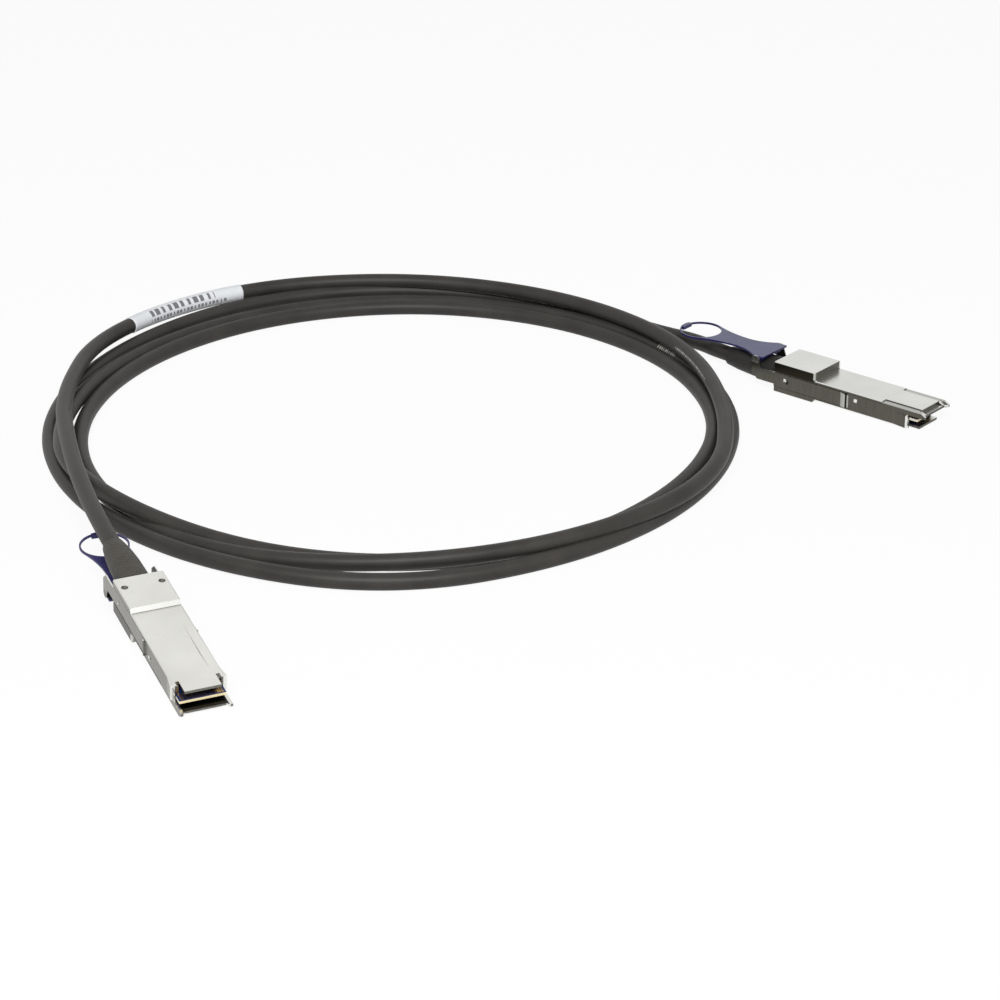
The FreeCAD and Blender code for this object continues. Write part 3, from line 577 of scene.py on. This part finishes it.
def label_sleeve(start):
    """Thin wrap round the cable, with rounded ends."""
    end = start + LABEL_LENGTH
    outer = RADIUS + LABEL_THICKNESS
    profile = [(0.0, RADIUS), (0.0, RADIUS + LABEL_THICKNESS * 0.7), (LABEL_RIM, outer)]
    span = LABEL_LENGTH - 2 * LABEL_RIM
    stations = [(start + a, r) for a, r in profile]
    stations += [(start + LABEL_RIM + span * k / LABEL_RINGS, outer) for k in range(1, LABEL_RINGS)]
    stations += [(end - a, r) for a, r in reversed(profile)]
    vertices, uvs = [], []
    for s, r in stations:
        point, up, sideways = along(s)
        for k in range(LABEL_SIDES + 1):
            a = 2 * math.pi * k / LABEL_SIDES
            vertices.append(point + (sideways * math.sin(a) - up * math.cos(a)) * r)
            uvs.append(((s - start) / LABEL_LENGTH, k / LABEL_SIDES))
    faces = grid_faces(len(stations), LABEL_SIDES + 1)
    return mesh_piece("label_wrap", vertices, faces, LABEL, uvs)


label = label_sleeve(nearest(-118.0, 87.0, 10.5) - 3 * MM)
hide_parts("label_sleeve")

# How much of the pitch each bar takes, one after another
BAR_SHARES = (0.45, 0.7, 0.55)
BAR_LIFT = 0.04 * MM
BAR_ROWS = 3
BAR_COLUMNS = 5


def print_bars(name, start, count, pitch, middle, half):
    """Row of plain bars laid on the jacket; angles in degrees from its top towards the inside."""
    vertices, faces = [], []
    for k in range(count):
        faces += grid_faces(BAR_ROWS, BAR_COLUMNS, len(vertices))
        length = pitch * MM * BAR_SHARES[k % 3]
        for i in range(BAR_ROWS):
            point, up, sideways = along(start + pitch * MM * k + length * i / (BAR_ROWS - 1))
            for j in range(BAR_COLUMNS):
                a = math.radians(middle + half * (2 * j / (BAR_COLUMNS - 1) - 1))
                out = sideways * math.sin(a) + up * math.cos(a)
                vertices.append(point + out * (RADIUS + BAR_LIFT))
    return mesh_piece(name, vertices, faces, PRINT)


marks = [print_bars("jacket_print_a", nearest(108.5, 77.4, 3.3) + 3 * MM, 10, 1.35, 42.0, 14.0),
         print_bars("jacket_print_b", nearest(117.9, 60.1, 9.6), 26, 1.45, 68.0, 8.0)]

# ---------------------------------------------------------------- floor, backdrop and lights
FLOOR_REACH = 12
FLOOR_TONE = (0.92, 0.92, 0.92, 1.0)
# Share of plain white in the floor as seen directly; the rest takes shadow
FLOOR_GLOW = 0.92
AMBIENT = 0.28
WHITE = (1, 1, 1, 1)
KEY_AT = (-0.05, -1.15, 1.10)
KEY_TARGET = (0.0, 0.03, 0.0)
KEY_SIZE = (0.9, 0.5)
KEY_POWER = 24.0


def seen_directly(tree):
    """1 for rays from the camera and for those that metal or glass sends on."""
    paths = tree.nodes.new("ShaderNodeLightPath")
    total = paths.outputs["Is Camera Ray"]
    for kind in ("Is Glossy Ray", "Is Transmission Ray"):
        larger = tree.nodes.new("ShaderNodeMath")
        larger.operation = "MAXIMUM"
        tree.links.new(total, larger.inputs[0])
        tree.links.new(paths.outputs[kind], larger.inputs[1])
        total = larger.outputs[0]
    return total


def mix_shaders(tree, share, a, b, output):
    """Shader a where the share is 0, b where it is 1, into the tree's output."""
    mix = tree.nodes.new("ShaderNodeMixShader")
    tree.links.new(share, mix.inputs["Fac"])
    tree.links.new(a.outputs[0], mix.inputs[1])
    tree.links.new(b.outputs[0], mix.inputs[2])
    tree.links.new(mix.outputs[0], tree.nodes[output].inputs["Surface"])


def floor_material():
    """White floor that still takes the object's shadow."""
    material = bpy.data.materials.new("floor_white")
    material.use_nodes = True
    tree = material.node_tree
    shader = tree.nodes["Principled BSDF"]
    shader.inputs["Base Color"].default_value = FLOOR_TONE
    shader.inputs["Roughness"].default_value = 0.9
    shader.inputs["Specular IOR Level"].default_value = 0.0
    glow = tree.nodes.new("ShaderNodeEmission")
    glow.inputs["Strength"].default_value = 1.0
    share = tree.nodes.new("ShaderNodeMath")
    share.operation = "MULTIPLY"
    share.inputs[1].default_value = FLOOR_GLOW
    tree.links.new(seen_directly(tree), share.inputs[0])
    mix_shaders(tree, share.outputs[0], shader, glow, "Material Output")
    return material


corners = [(-1, -1), (1, -1), (1, 1), (-1, 1)]
floor_data = bpy.data.meshes.new("floor")
floor_data.from_pydata([(x * FLOOR_REACH, y * FLOOR_REACH, 0) for x, y in corners], [], [(0, 1, 2, 3)])
floor_data.materials.append(floor_material())
floor = bpy.data.objects.new("floor", floor_data)
bpy.context.scene.collection.objects.link(floor)

world = bpy.data.worlds.new("studio")
bpy.context.scene.world = world
world.use_nodes = True
sky = world.node_tree
ambient = sky.nodes["Background"]
ambient.inputs["Color"].default_value = WHITE
ambient.inputs["Strength"].default_value = AMBIENT
backdrop = sky.nodes.new("ShaderNodeBackground")
backdrop.inputs["Color"].default_value = WHITE
backdrop.inputs["Strength"].default_value = 1.0
mix_shaders(sky, seen_directly(sky), ambient, backdrop, "World Output")

key_data = bpy.data.lights.new("key", "AREA")
key_data.shape = "RECTANGLE"
key_data.size, key_data.size_y = KEY_SIZE
key_data.energy = KEY_POWER
key = bpy.data.objects.new("key", key_data)
bpy.context.scene.collection.objects.link(key)
key.location = KEY_AT
key.rotation_euler = (Vector(KEY_TARGET) - Vector(KEY_AT)).to_track_quat("-Z", "Y").to_euler()

bpy.context.scene.view_settings.view_transform = "Standard"
